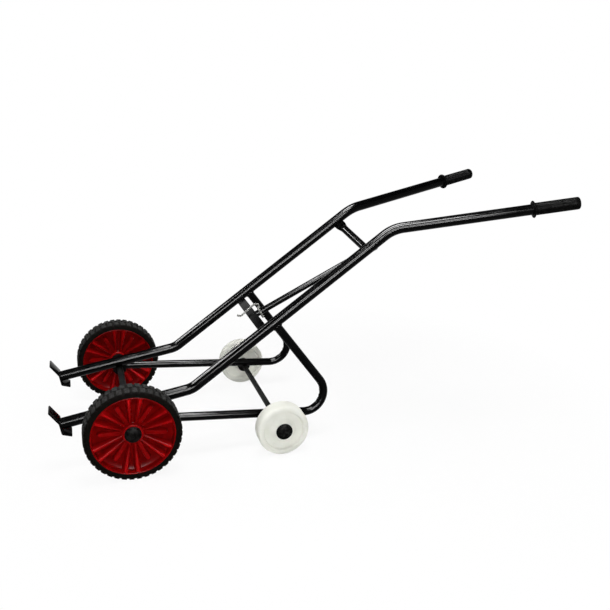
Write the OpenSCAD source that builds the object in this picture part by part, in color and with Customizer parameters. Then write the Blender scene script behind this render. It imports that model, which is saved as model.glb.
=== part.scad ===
/* [Wheels] */
// Diameter of a main wheel over its tread lugs
wheel_d = 263; // [220:1:300]
// Width of the solid rubber tyre
tyre_w = 60; // [44:1:70]
// Depth of the tyre from the tread down to the plastic wheel
tyre_depth = 18.5; // [14:0.5:26]
// Height of the tread lugs
lug_h = 3; // [1:0.5:6]
// How far the tyre's shoulders are rounded off
shoulder = 6; // [4:0.5:9]
// Number of lugs in each of the tread's two rows
lugs = 40; // [24:1:48]
// Share of the tread's length that the lugs fill
lug_fill = 0.66; // [0.4:0.02:0.8]
// Width of the groove round the middle of the tread
tread_groove = 4; // [2:0.5:10]
// Width of the plastic wheel at its hub
hub_w = 32; // [20:1:56]
// Diameter of the hub boss
hub_d = 56; // [40:1:70]
// Thickness of the wheel's central web
web_t = 5; // [3:0.5:10]
// Thickness of the wheel's outer ring
ring_t = 3.5; // [3:0.5:8]
// Thickness of a rib at its crest
rib_t = 6; // [3:0.5:8]
// Thickness of a rib at the web
rib_root = 11; // [9:0.5:14]
// Number of rib pairs on each face of a wheel
rib_pairs = 6; // [4:1:7]
// Spread between the two ribs of a pair at the outer ring
rib_spread = 34.5; // [24:0.5:40]
// Spread between the two ribs of a pair at the hub
rib_hub_spread = 13; // [10:0.5:16]
// Height of the ribs' crests above the wheel's middle plane at the hub
rib_low = 7; // [5:0.5:14]
// Height of the ribs' crests above the wheel's middle plane at the outer ring
rib_high = 27; // [16:0.5:28]
// Width of the short round-ended ridges between the rib pairs
ridge_w = 9; // [6:0.5:12]
// Distance between the middle planes of the main wheels
track = 544; // [500:1:600]
// Gap between a lower rail and the tyre beside it
wheel_gap = 26.5; // [22:0.5:40]
// Diameter of the main axle
axle_d = 20; // [14:1:22]

/* [Rollers] */
// Diameter of a rear roller
roller_d = 150; // [120:1:180]
// Width of a rear roller
roller_w = 50; // [36:1:60]
// Radius of the roller's rounded edges
roller_edge = 8; // [3:0.5:12]
// Diameter of the recess in each face of a roller
recess_d = 117; // [90:1:130]
// Depth of that recess
recess = 8; // [4:0.5:12]
// Diameter of the roller's cone-shaped boss at the bottom of the recess
boss_d = 74; // [60:1:80]
// Gap between a lower rail and the roller beside it
roller_gap = 24.5; // [15:0.5:40]
// Distance from the main axle back to the roller axle, along the lower rails
wheelbase = 424; // [380:1:440]
// Side of the square roller axle
bar = 12; // [10:1:16]
// Diameter of the roller's own bore seat on its round axle end
journal_d = 12; // [8:1:12]

/* [Side frames] */
// Outside diameter of a main tube
tube_d = 32; // [26:1:38]
// Wall of a main tube
tube_wall = 2; // [1.5:0.5:4]
// Length from the front of the hook plate to the first bend
front_run = 372; // [340:1:400]
// Rise of the front run against the lower rails, degrees
front_rise = 14.5; // [10:0.5:18]
// Distance of the first corner behind the axle
corner_x = 173.7; // [160:0.1:190]
// Height of the first corner above the axle
corner_z = 76.2; // [72:0.1:90]
// Length of the sloping middle run between the two bends
mid_run = 744.5; // [700:0.5:800]
// Rise of the middle run, degrees
mid_rise = 40.7; // [36:0.1:45]
// Length of the handle from its bend to the end of the grip
handle_run = 550; // [500:1:600]
// Rise of the handle, degrees
handle_rise = 13.3; // [8:0.1:20]
// Outward turn of the handle, degrees
handle_splay = 16; // [10:0.1:20]
// Middle radius of the front bend
front_curve_r = 70; // [50:1:100]
// Middle radius of the handle bend
handle_curve_r = 170; // [100:1:220]

/* [Lower loops] */
// Outside diameter of a loop tube
loop_d = 25; // [20:1:28]
// Wall of a loop tube
loop_wall = 2; // [1.5:0.5:3]
// Thickness of the plate between a main tube and a lower rail
plate_t = 6; // [4:0.5:10]
// Height of the lower rail's middle above the axle's middle
loop_z = 4.2; // [0:0.1:8]
// Distance of the loop's sharp corner behind the axle
loop_corner = 637; // [600:1:660]
// Middle radius of the loop's bend
loop_curve_r = 59; // [50:1:65]
// Place along the middle run where the loop meets the main tube
loop_top = 302; // [280:1:320]

/* [Hooks] */
// Width of the hook plates
hook_w = 50; // [40:1:60]
// Thickness of the hook plates
hook_t = 5; // [4:0.5:8]
// Height of the plate above the tube's middle
hook_up = 10.3; // [8:0.1:14]
// Drop of the plate below the tube's middle
hook_down = 22.5; // [21:0.1:30]
// Length of the tongue that leans forward
tongue_len = 43; // [35:1:55]
// Forward lean of the tongue against the plate, degrees
tongue_lean = 26; // [15:1:40]
// Length of the toe that points back
toe_len = 27.4; // [20:0.2:35]
// Turn of the toe out of the plate, degrees
toe_turn = 63; // [50:1:75]
// Inside radius of the folds
fold_r = 2.5; // [1:0.5:4]

/* [Cross members] */
// Width of the flat cross strap
strap_w = 27; // [20:1:35]
// Thickness of the flat cross strap
strap_t = 6; // [4:0.5:8]
// Place of the strap along the middle run
strap_s = 265; // [240:1:275]
// Diameter of the upper cross tube
cross_d = 25; // [20:1:28]
// Wall of the upper cross tube
cross_wall = 2; // [1.5:0.5:3]
// Place of the upper cross tube along the middle run
cross_s = 683; // [640:1:690]
// Width of the upper cross tube's flattened ends
flat_w = 38; // [30:1:44]
// Thickness of its flattened ends
flat_t = 5; // [4:0.5:8]
// Length over which it is squashed from round to flat
flat_run = 28; // [20:1:40]
// Depth of its middle below the main tubes' plane
cross_mid_drop = 60; // [50:1:70]
// Diameter of the middle rod
rod_d = 20; // [16:1:22]
// Wall of the middle rod
rod_wall = 2; // [1.5:0.5:3]

/* [Catch hook] */
// Diameter of the hook's wire
wire_d = 6; // [4:0.5:8]
// Length of the straight part of the hook's shaft
shaft_len = 42; // [25:1:60]
// Fall of the shaft towards its tip, degrees
hook_dip = 42; // [30:1:50]

/* [Grips] */
// Outside diameter of a grip
grip_d = 37; // [36:0.5:42]
// Length of a grip
grip_len = 138; // [110:1:150]
// Diameter of the grip's collar
collar_d = 52; // [44:1:60]
// Thickness of the grip's collar
collar_t = 4; // [3:0.5:8]
// Thickness of the grip's end wall
grip_end = 5; // [3:0.5:8]

/* [Hidden] */
$fn = 48;

// Radial play of a wheel on its axle
play = 0.05;
// Gap beside a turning wheel
side_gap = 0.4;
wheel_r = wheel_d / 2;
roller_r = roller_d / 2;
rim_r = wheel_r - tyre_depth;
// From the wheels inwards: the lower rails, the plates and the main tubes.
loop_track = track - tyre_w - 2 * wheel_gap - loop_d;
roller_track = loop_track + loop_d + 2 * roller_gap + roller_w;
plate_bite = 1.5;
rails = loop_track - loop_d - 2 * plate_t - tube_d + 2 * plate_bite;
hub_face = track / 2 + hub_w / 2;
roller_face = roller_track / 2 + roller_w / 2;
roller_z = loop_z - loop_d / 2 - bar / 2;

// The frame is laid out with its lower rails level and the main axle at the origin.
// Parked, it leans until the rollers touch the floor as well as the wheels.
reach = norm([wheelbase, roller_z]);
lean = asin((wheel_r - roller_r) / reach) + atan(roller_z / wheelbase);

function unit(v) = v / norm(v);
function in_plane(a) = [cos(a), 0, sin(a)];
rail_y = rails / 2;
bend_1 = [corner_x, rail_y, corner_z];
bend_2 = bend_1 + mid_run * in_plane(mid_rise);
handle_dir = [cos(handle_rise) * cos(handle_splay), cos(handle_rise) * sin(handle_splay), sin(handle_rise)];
handle_end = bend_2 + handle_run * handle_dir;
front_face = bend_1 - front_run * in_plane(front_rise);
tube_front = bend_1 - (front_run - hook_t) * in_plane(front_rise);

plate_up = in_plane(front_rise + 90);
hook_knee = front_face + hook_up * plate_up;
hook_heel = front_face - hook_down * plate_up;
hook_tip = hook_knee + tongue_len * in_plane(front_rise + 90 + tongue_lean);
hook_toe = hook_heel + toe_len * in_plane(front_rise - 90 + toe_turn);

loop_front = [0, loop_track / 2, loop_z];
loop_low = [loop_corner, loop_track / 2, loop_z];
loop_high = bend_1 + loop_top * in_plane(mid_rise);

function parked(p) = [p.x * cos(lean) + p.z * sin(lean), p.y, p.z * cos(lean) - p.x * sin(lean)];
// The farthest points forward and back set the middle of the whole trolley.
x_front = parked(hook_tip).x;
x_back = parked(handle_end).x + grip_d / 2 * sqrt(1 - pow(parked(handle_dir).x, 2));
shift_x = -(x_front + x_back) / 2;

module park() {
    translate([shift_x, 0, wheel_r]) rotate([0, lean, 0]) children();
}

module sides(left) {
    if (left) mirror([0, 1, 0]) children();
    else children();
}

// A bender is set to lengths and angles, so they are kept to a thousandth.
function set_to(x) = round(x * 1000) / 1000;
function setback(radius, angle) = radius * tan(angle / 2);

// A round bar from the bending programme: each step is a straight length, the turn of the bend's
// plane, the bend's angle and its middle radius. It starts along +Z and each bend leans towards +X.
// Bending draws the tube a hair thinner, and the straights reach a little way into it.
tube_draw = 0.02;
tube_lap = 0.2;
module bent_bar(steps, d, k = 0) {
    step = steps[k];
    before = k > 0 ? tube_lap : 0;
    after = len(step) > 1 ? tube_lap : 0;
    translate([0, 0, -before]) cylinder(d = d, h = before + step[0] + after);
    if (len(step) > 1)
        translate([0, 0, step[0]]) rotate([0, 0, step[1]]) translate([step[3], 0, 0]) {
            rotate([90, 0, 180]) rotate_extrude(angle = step[2])
                translate([step[3], 0]) circle(d = d - tube_draw);
            rotate([0, step[2], 0]) translate([-step[3], 0, 0]) bent_bar(steps, d, k + 1);
        }
}

module bent_tube(steps, d, wall) {
    difference() {
        bent_bar(steps, d);
        bent_bar(steps, d - 2 * wall);
    }
}

// The handle's direction seen in the plane across the middle run, after the first bend.
handle_up = handle_dir * in_plane(mid_rise + 90);
front_bend = set_to(mid_rise - front_rise);
handle_bend = set_to(acos(handle_dir * in_plane(mid_rise)));
handle_turn = set_to(atan2(-handle_dir.y, handle_up));
front_back = setback(front_curve_r, front_bend);
handle_back = setback(handle_curve_r, handle_bend);
main_steps = [[set_to(front_run - hook_t - front_back), 180, front_bend, front_curve_r],
              [set_to(mid_run - front_back - handle_back), handle_turn, handle_bend, handle_curve_r],
              [set_to(handle_run - grip_end - handle_back)]];

module main_tube(left) {
    color("#17181a") park() sides(left) translate(tube_front) rotate([0, 90 - front_rise, 0])
        bent_tube(main_steps, tube_d, tube_wall);
}

// A fold between two flats: the faces' normals turn from one angle to the other about a centre.
fold_steps = 6;
function fold(centre, r, from, to) =
    [for (i = [0 : fold_steps]) centre + r * in_plane(from + (to - from) * i / fold_steps)];

// The plate is welded square on the tube's front end; its tongue leans forward and its toe points back.
module hook(left) {
    tongue = front_rise + tongue_lean;
    toe = front_rise + toe_turn;
    wide_r = fold_r + hook_t;
    knee = hook_knee - fold_r / cos(tongue_lean / 2) * in_plane(front_rise + tongue_lean / 2);
    heel = hook_heel + wide_r / cos(toe_turn / 2) * in_plane(front_rise + toe_turn / 2);
    side = concat([hook_tip], fold(knee, fold_r, tongue, front_rise), fold(heel, -wide_r, front_rise, toe),
        [hook_toe, hook_toe + hook_t * in_plane(toe)], fold(heel, -fold_r, toe, front_rise),
        fold(knee, wide_r, front_rise, tongue), [hook_tip + hook_t * in_plane(tongue)]);
    color("#17181a") park() sides(left)
        translate([0, rail_y + hook_w / 2, 0]) rotate([90, 0, 0])
            linear_extrude(hook_w) polygon([for (p = side) [p.x, p.z]]);
}

leg_dir = unit(loop_high - loop_low);
loop_bend = set_to(acos(leg_dir.x));
loop_back = setback(loop_curve_r, loop_bend);
loop_steps = [[set_to(loop_corner - loop_back), set_to(atan2(leg_dir.y, -leg_dir.z)), loop_bend, loop_curve_r],
              [set_to(norm(loop_high - loop_low) - loop_back)]];
module loop(left) {
    color("#17181a") park() sides(left) difference() {
        translate(loop_front) rotate([0, 90, 0]) bent_tube(loop_steps, loop_d, loop_wall);
        translate([0, rail_y, 0]) translate([corner_x, 0, corner_z]) rotate([0, 90 - mid_rise, 0])
            cylinder(d = tube_d, h = mid_run);
        translate([0, track / 2, 0]) rotate([90, 0, 0]) cylinder(d = axle_d, h = track);
    }
}

plate_w = 44;
plate_y = (loop_track - loop_d) / 2;
// A plate hangs from the outside of the main tube and carries the axle.
module axle_plate(left) {
    tube_z = corner_z - corner_x * tan(front_rise);
    color("#17181a") park() sides(left) difference() {
        translate([0, plate_y, 0]) rotate([90, 0, 0]) linear_extrude(plate_t) union() {
            circle(d = plate_w);
            translate([-plate_w / 2, 0]) square([plate_w, tube_z]);
        }
        translate([0, track / 2, 0]) rotate([90, 0, 0]) cylinder(d = axle_d, h = track);
        translate(front_face) rotate([0, 90 - front_rise, 0]) cylinder(d = tube_d, h = front_run);
    }
}

cap_d = 46;
cap_rise = 13;
axle_reach = hub_face + cap_rise / 2;
module main_axle() {
    color("#1c1c1e") park() rotate([90, 0, 0]) cylinder(d = axle_d, h = 2 * axle_reach, center = true);
}

collar_w = 12;
module axle_collar(left) {
    color("#141416") park() sides(left) translate([0, track / 2 - hub_w / 2 - side_gap, 0]) rotate([90, 0, 0])
        difference() {
            cylinder(d = cap_d, h = collar_w);
            translate([0, 0, -1]) cylinder(d = axle_d, h = collar_w + 2);
        }
}

// A domed cap pushed over the end of an axle.
module end_cap(d, rise, shaft, seat) {
    rotate([-90, 0, 0]) difference() {
        intersection() {
            cylinder(d = d, h = rise);
            translate([0, 0, rise - (d * d / 4 + 64) / 16]) sphere(r = (d * d / 4 + 64) / 16);
        }
        translate([0, 0, -1]) cylinder(d = shaft, h = seat + 1);
    }
}

module hub_cap(left) {
    color("#141416") park() sides(left) translate([0, hub_face + side_gap, 0])
        end_cap(cap_d, cap_rise, axle_d, axle_reach - hub_face - side_gap);
}

roller_cap_d = 48;
journal_reach = roller_face + cap_rise / 2;
module roller_axle() {
    color("#1c1c1e") park() translate([wheelbase, 0, roller_z]) {
        cube([bar, loop_track + loop_d, bar], center = true);
        rotate([90, 0, 0]) cylinder(d = journal_d, h = 2 * journal_reach, center = true);
    }
}

roller_collar_d = 41;
module roller_collar(left) {
    inner = loop_track / 2 + loop_d / 2;
    outer = roller_track / 2 - roller_w / 2 - side_gap;
    color("#141416") park() sides(left) translate([wheelbase, outer, roller_z]) rotate([90, 0, 0])
        difference() {
            cylinder(d = roller_collar_d, h = outer - inner);
            translate([0, 0, -1]) cylinder(d = journal_d, h = outer - inner + 2);
        }
}

module roller_cap(left) {
    color("#141416") park() sides(left) translate([wheelbase, roller_face + side_gap, roller_z])
        end_cap(roller_cap_d, cap_rise, journal_d, journal_reach - roller_face - side_gap);
}

mid_dir = in_plane(mid_rise);
mid_up = in_plane(mid_rise + 90);
module main_tube_hulls() {
    for (side = [0, 1]) sides(side == 1)
        translate(bend_1) rotate([0, 90 - mid_rise, 0]) cylinder(d = tube_d, h = mid_run);
}

module cross_strap() {
    mid = [corner_x, 0, corner_z] + strap_s * mid_dir;
    color("#1f2022") park() difference() {
        translate(mid) rotate([0, -mid_rise, 0]) cube([strap_w, rails, strap_t], center = true);
        main_tube_hulls();
    }
}

cross_mid = [corner_x, 0, corner_z] + cross_s * mid_dir - cross_mid_drop * mid_up;
cross_curve_r = 60;
cross_end_drop = tube_d / 2 + flat_t / 2 - 0.5;
cross_fall = set_to(atan((cross_mid_drop - cross_end_drop) / rail_y));
flat_len = 20;
cross_half = set_to(norm([rail_y, cross_mid_drop - cross_end_drop]) - setback(cross_curve_r, 2 * cross_fall)
    - flat_len / 2 - flat_run);
cross_steps = [[cross_half, -90, 2 * cross_fall, cross_curve_r], [cross_half]];
cross_in = flat_len / 2 + flat_run;
module cross_place() {
    translate(cross_mid) rotate([0, -mid_rise, 0])
        translate([0, -rail_y, cross_mid_drop - cross_end_drop]) rotate([-90 - cross_fall, 0, 0])
            translate([0, 0, cross_in]) children();
}
// A squashed end of the cross tube: round where it starts, wider and thinner towards its flat tip.
module flat_end() {
    wide = flat_w / 2;
    thin = flat_t / 2;
    start = cross_d / 2 + 1;
    intersection() {
        translate([0, 0, -flat_run]) cylinder(r1 = wide + 1, r2 = start - 0.4, h = flat_run + 0.5);
        rotate([90, 0, 0]) linear_extrude(2 * cross_d, center = true)
            polygon([[0.3 - wide, -flat_run], [wide - 0.3, -flat_run], [start, 1], [-start, 1]]);
        rotate([90, 0, 90]) linear_extrude(2 * flat_w, center = true)
            polygon([[0.1 - thin, -flat_run], [thin - 0.1, -flat_run], [start, 1], [-start, 1]]);
    }
    translate([-wide, -thin, -flat_run - flat_len]) cube([flat_w, flat_t, flat_len + 1]);
}
module cross_tube() {
    color("#17181a") park() difference() {
        union() {
            cross_place() bent_tube(cross_steps, cross_d, cross_wall);
            for (side = [0, 1]) sides(side == 1) mirror([0, 1, 0]) cross_place() flat_end();
        }
        main_tube_hulls();
    }
}

rod_low = [corner_x, 0, corner_z] + strap_s * mid_dir - (strap_t / 2 + rod_d / 2) * mid_up;
rod_line = cross_mid - rod_low;
rod_rise = set_to(atan2(rod_line.z, rod_line.x));
// The rod is lapped under the strap and coped to the upper cross tube.
module middle_rod() {
    color("#17181a") park() difference() {
        translate(rod_low) rotate([0, 90 - rod_rise, 0]) difference() {
            cylinder(d = rod_d, h = norm(rod_line));
            translate([0, 0, -1]) cylinder(d = rod_d - 2 * rod_wall, h = norm(rod_line) + 2);
        }
        translate([corner_x, 0, corner_z] + strap_s * mid_dir) rotate([0, -mid_rise, 0])
            cube([strap_w, rails, strap_t], center = true);
        cross_place() bent_bar(cross_steps, cross_d);
    }
}

// A zinc-plated wire hook: its ring sits round the rod and its shaft reaches forward over the strap.
ring_r = 16;
ring_lift = ring_r - wire_d / 2 - rod_d / 2 - 0.3;
ring_place = strap_w / 2 + 12;
module catch_hook() {
    color("#b9bcc0") park() translate(rod_low) rotate([0, -rod_rise, 0]) translate([ring_place, 0, ring_lift]) {
        rotate([0, 90, 0]) rotate_extrude() translate([ring_r, 0]) circle(d = wire_d);
        translate([0, 0, ring_r]) rotate([0, -90 + rod_rise, 0])
            bent_bar([[2, 180, hook_dip, 14], [shaft_len, 0, 20, 10], [4]], wire_d);
    }
}

module grip(left) {
    color("#101011") park() sides(left) translate(handle_end) rotate([0, 0, handle_splay])
        rotate([0, 90 - handle_rise, 0]) translate([0, 0, -grip_len]) difference() {
        union() {
            cylinder(d = grip_d, h = grip_len);
            cylinder(d = collar_d, h = collar_t);
        }
        translate([0, 0, -1]) cylinder(d = tube_d, h = grip_len - grip_end + 1);
    }
}

// The ribs' crests climb from the hub to the outer ring, alike on both faces.
module crests(low, high, from, to) {
    rotate_extrude() polygon([[from, -low], [to, -high], [to, high], [from, low]]);
}
module rib(spread_in, spread_out) {
    near = hub_d / 2 - 2;
    far = rim_r - ring_t / 2;
    lean_in = set_to(atan((spread_out - spread_in) / 2 / (far - near)));
    translate([near, spread_in / 2, 0]) rotate([0, 0, lean_in]) rotate([90, 0, 90])
        linear_extrude(far - near) polygon([[-rib_root / 2, 0], [-rib_t / 2, rib_high], [rib_t / 2, rib_high],
            [rib_root / 2, 0], [rib_t / 2, -rib_high], [-rib_t / 2, -rib_high]]);
}
ridge_end = rim_r - 22;
module wheel_rim(left) {
    bore = axle_d / 2 + play;
    ring = tyre_w / 2 - ring_t / 2;
    color("#8d1512") park() sides(left) translate([0, track / 2, 0]) rotate([90, 0, 0]) {
        rotate_extrude() union() {
            translate([bore, -hub_w / 2]) square([hub_d / 2 - bore, hub_w]);
            polygon([[hub_d / 2 - 1, -web_t / 2], [rim_r - 16, -web_t / 2], [rim_r - 1, -web_t / 2 - 6],
                [rim_r - 1, web_t / 2 + 6], [rim_r - 16, web_t / 2], [hub_d / 2 - 1, web_t / 2]]);
            translate([rim_r - ring_t, -ring]) square([ring_t, 2 * ring]);
            for (face = [-1, 1]) translate([rim_r - ring_t / 2, face * ring]) circle(d = ring_t);
        }
        intersection() {
            union() for (k = [0 : rib_pairs - 1]) rotate([0, 0, (k + 0.5) * 360 / rib_pairs]) {
                rib(rib_hub_spread, rib_spread);
                mirror([0, 1, 0]) rib(rib_hub_spread, rib_spread);
            }
            crests(rib_low, rib_high, hub_d / 2 - 2, rim_r - 1);
        }
        intersection() {
            union() for (k = [0 : rib_pairs - 1]) rotate([0, 0, k * 360 / rib_pairs]) {
                translate([hub_d / 2 - 2, -ridge_w / 2, -rib_high])
                    cube([ridge_end - ridge_w / 2 - hub_d / 2 + 2, ridge_w, 2 * rib_high]);
                translate([ridge_end - ridge_w / 2, 0, -rib_high]) cylinder(d = ridge_w, h = 2 * rib_high);
            }
            crests(rib_low * 0.7, rib_high * 0.5, hub_d / 2 - 2, ridge_end + 1);
        }
    }
}

// Half of the tyre's section, from the plastic wheel out to a crown radius.
module tyre_section(crown) {
    h = tyre_w / 2;
    knee = shoulder * 0.3;
    polygon([[rim_r, -h], [crown - shoulder, -h], [crown - knee, -h + knee], [crown, -h + shoulder],
        [crown, h - shoulder], [crown - knee, h - knee], [crown - shoulder, h], [rim_r, h]]);
}
module wheel_tyre(left) {
    h = tyre_w / 2;
    lug_len = 2 * PI * wheel_r / lugs * lug_fill;
    lug_foot = wheel_r - lug_h - shoulder + 1.5;
    color("#2b2c2e") park() sides(left) translate([0, track / 2, 0]) rotate([90, 0, 0]) {
        rotate_extrude() tyre_section(wheel_r - lug_h);
        intersection() {
            rotate_extrude() tyre_section(wheel_r);
            union() for (k = [0 : lugs - 1]) {
                rotate([0, 0, k * 360 / lugs]) translate([lug_foot, -lug_len / 2, tread_groove / 2])
                    cube([wheel_r + 2 - lug_foot, lug_len, h]);
                rotate([0, 0, (k + 0.5) * 360 / lugs]) translate([lug_foot, -lug_len / 2, -tread_groove / 2 - h])
                    cube([wheel_r + 2 - lug_foot, lug_len, h]);
            }
        }
    }
}

module roller(left) {
    h = roller_w / 2;
    bore = journal_d / 2 + play;
    floor_y = h - recess;
    color("#efeee4") park() sides(left) translate([wheelbase, roller_track / 2, roller_z]) rotate([90, 0, 0])
        rotate_extrude() difference() {
            union() {
                translate([bore, -h]) square([roller_r - roller_edge - bore, roller_w]);
                translate([bore, -h + roller_edge]) square([roller_r - bore, roller_w - 2 * roller_edge]);
                for (face = [-1, 1]) translate([roller_r - roller_edge, face * (h - roller_edge)])
                    circle(r = roller_edge);
            }
            for (face = [0, 1]) mirror([0, face]) polygon([[boss_d / 2, floor_y], [boss_d / 2 - recess, h + 1],
                [recess_d / 2 + 1, h + 1], [recess_d / 2 - 1, floor_y]]);
        }
}

main_tube(true);  // main_tube_left
main_tube(false);  // main_tube_right
hook(true);  // hook_left
hook(false);  // hook_right
loop(true);  // loop_left
loop(false);  // loop_right
axle_plate(true);  // axle_plate_left
axle_plate(false);  // axle_plate_right
main_axle();
axle_collar(true);  // axle_collar_left
axle_collar(false);  // axle_collar_right
hub_cap(true);  // hub_cap_left
hub_cap(false);  // hub_cap_right
roller_axle();
roller_collar(true);  // roller_collar_left
roller_collar(false);  // roller_collar_right
roller_cap(true);  // roller_cap_left
roller_cap(false);  // roller_cap_right
cross_strap();
cross_tube();
middle_rod();
catch_hook();
grip(true);  // grip_left
grip(false);  // grip_right
wheel_rim(true);  // wheel_rim_left
wheel_tyre(true);  // wheel_tyre_left
wheel_rim(false);  // wheel_rim_right
wheel_tyre(false);  // wheel_tyre_right
roller(true);  // roller_left
roller(false);  // roller_right
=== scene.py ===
# %% [markdown]
# # A garden hand trolley, dressed for its photograph
# The trolley's solids come from the CAD model. This lesson loads them as a fixed frame, then makes the
# pieces that need smooth curves, treads, ribs and welds with bmesh, and gives every surface a finish.
# Cells are short, so that each one can be run and looked at on its own.

# %% Load the frame
import math
import random

import bmesh
import bpy
from mathutils import Matrix, Vector


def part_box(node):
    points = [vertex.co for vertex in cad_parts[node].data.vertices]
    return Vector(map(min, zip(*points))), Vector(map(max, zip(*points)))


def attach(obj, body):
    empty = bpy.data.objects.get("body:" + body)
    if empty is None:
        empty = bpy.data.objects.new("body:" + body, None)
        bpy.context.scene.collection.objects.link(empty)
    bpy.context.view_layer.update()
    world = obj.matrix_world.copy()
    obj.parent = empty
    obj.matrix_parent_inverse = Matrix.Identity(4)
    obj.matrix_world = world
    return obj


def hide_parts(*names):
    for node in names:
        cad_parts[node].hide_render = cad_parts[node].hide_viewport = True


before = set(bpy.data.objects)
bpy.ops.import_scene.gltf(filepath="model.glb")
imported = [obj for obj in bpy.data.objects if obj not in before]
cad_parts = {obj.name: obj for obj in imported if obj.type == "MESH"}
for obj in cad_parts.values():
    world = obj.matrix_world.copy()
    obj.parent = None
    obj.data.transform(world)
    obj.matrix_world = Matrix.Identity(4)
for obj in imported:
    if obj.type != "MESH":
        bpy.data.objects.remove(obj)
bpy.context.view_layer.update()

# %% [markdown]
# ## Two frames of reference
# The workshop drawing lays the trolley with its lower rails level and the main axle at the origin, in
# millimetres. Parked, it leans forward until the rollers touch the floor too. One matrix holds that
# lean, the scale to metres and the axle's place, so every new piece can be drawn in plain workshop
# numbers and then parked in one go. The lean follows from the two wheel sizes, not from a typed angle.

# %% Park the drawing
SIDES = ("left", "right")
WHEEL_R, ROLLER_R = 131.5, 75.0
WHEELBASE, ROLLER_DROP, TRACK_HALF = 424.0, 14.3, 272.0
axle_low, axle_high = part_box("main_axle")
reach = math.hypot(WHEELBASE, ROLLER_DROP)
lean = math.asin((WHEEL_R - ROLLER_R) / reach) - math.atan(ROLLER_DROP / WHEELBASE)
PARK = (Matrix.Translation((axle_low + axle_high) / 2)
        @ Matrix.Rotation(lean, 4, "Y") @ Matrix.Scale(0.001, 4))
print("lean", round(math.degrees(lean), 3), "degrees, axle at", tuple(round(c, 4) for c in PARK.translation))

# %% [markdown]
# ## The camera
# The photograph was taken with an ordinary lens from the left side, a little in front of the middle
# and well above the handles, with the camera slightly rolled. Those angles were worked out from the
# straight tubes and the round wheels. Building the three axes one turn at a time keeps each angle
# readable, and parking them with the same matrix keeps the camera tied to the drawing.

# %% Place the camera
CAMERA_AT = Vector((-190.74, -2106.14, 929.59))
YAW, PITCH, ROLL = 0.3382, 0.2852, 0.1010
LENS, SENSOR = 43.34, 36.0

forward = Vector((math.sin(YAW), math.cos(YAW), 0.0))
side = Vector((math.cos(YAW), -math.sin(YAW), 0.0))
upward = Vector((0.0, 0.0, 1.0))
look = forward * math.cos(PITCH) - upward * math.sin(PITCH)
tall = upward * math.cos(PITCH) + forward * math.sin(PITCH)
right = side * math.cos(ROLL) + tall * math.sin(ROLL)
top = tall * math.cos(ROLL) - side * math.sin(ROLL)

axes = Matrix((right, top, -look)).transposed()
parked_axes = Matrix.Rotation(lean, 3, "Y") @ axes
lens = bpy.data.cameras.new("photo_camera")
lens.lens, lens.sensor_width = LENS, SENSOR
camera = bpy.data.objects.new("photo_camera", lens)
camera.matrix_world = Matrix.Translation(PARK @ CAMERA_AT) @ parked_axes.to_4x4()
bpy.context.scene.collection.objects.link(camera)
bpy.context.scene.camera = camera
print("camera at", tuple(round(c, 3) for c in camera.location))

# %% [markdown]
# ## Writing finishes as sums
# A finish is a small graph of nodes. Written node by node, it hides the idea, so one class wraps a
# node's output and lets Python's own signs add the Math nodes: `1 - mask` or `grain * 0.3 + 0.2`.
# A second class holds one graph. Its `node` method makes any other node from its type, its settings
# and the values of its sockets. Numbers that are the same all over go on the shader's own sockets.

# %% Shader arithmetic
class Signal:
    """The output of a node, which takes part in Python sums."""

    def __init__(self, graph, socket):
        self.graph, self.socket = graph, socket

    def reckon(self, operation, one, two):
        return self.graph.node("ShaderNodeMath", {"operation": operation}, {0: one, 1: two})

    def __add__(self, other):
        return self.reckon("ADD", self, other)

    def __radd__(self, other):
        return self.reckon("ADD", other, self)

    def __sub__(self, other):
        return self.reckon("SUBTRACT", self, other)

    def __rsub__(self, other):
        return self.reckon("SUBTRACT", other, self)

    def __mul__(self, other):
        return self.reckon("MULTIPLY", self, other)

    def __rmul__(self, other):
        return self.reckon("MULTIPLY", other, self)

    def __pow__(self, other):
        return self.reckon("POWER", self, other)


class Graph:
    """The nodes of one material or world."""

    def __init__(self, tree):
        self.tree = tree

    def node(self, kind, settings=None, sockets=None, output=0):
        """Adds a node, sets its settings, then fills its sockets with values or links."""
        made = self.tree.nodes.new(kind)
        for setting, choice in (settings or {}).items():
            setattr(made, setting, choice)
        for key, value in (sockets or {}).items():
            self.plug(made.inputs[key], value)
        return Signal(self, made.outputs[output])

    def plug(self, target, value):
        if isinstance(value, Signal):
            self.tree.links.new(value.socket, target)
        else:
            target.default_value = value

    def ramp(self, value, low, high, to_low=0.0, to_high=1.0):
        """The value, stretched so that low..high becomes to_low..to_high, and held there."""
        return self.node("ShaderNodeMapRange", {}, {0: value, 1: low, 2: high, 3: to_low, 4: to_high})

    def parts(self, vector):
        """The x, y and z of a vector."""
        made = self.node("ShaderNodeSeparateXYZ", {}, {0: vector}).socket.node
        return [Signal(self, output) for output in made.outputs]

    def seen(self):
        """1 where a ray from the camera, or one mirrored or bent by the object, arrives."""
        paths = self.node("ShaderNodeLightPath").socket.node.outputs
        camera_ray, mirrored_ray, bent_ray = (
            Signal(self, paths[name]) for name in ("Is Camera Ray", "Is Glossy Ray", "Is Transmission Ray"))
        return self.ramp(camera_ray + mirrored_ray + bent_ray, 0.0, 1.0)


print("shader arithmetic ready")

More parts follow.
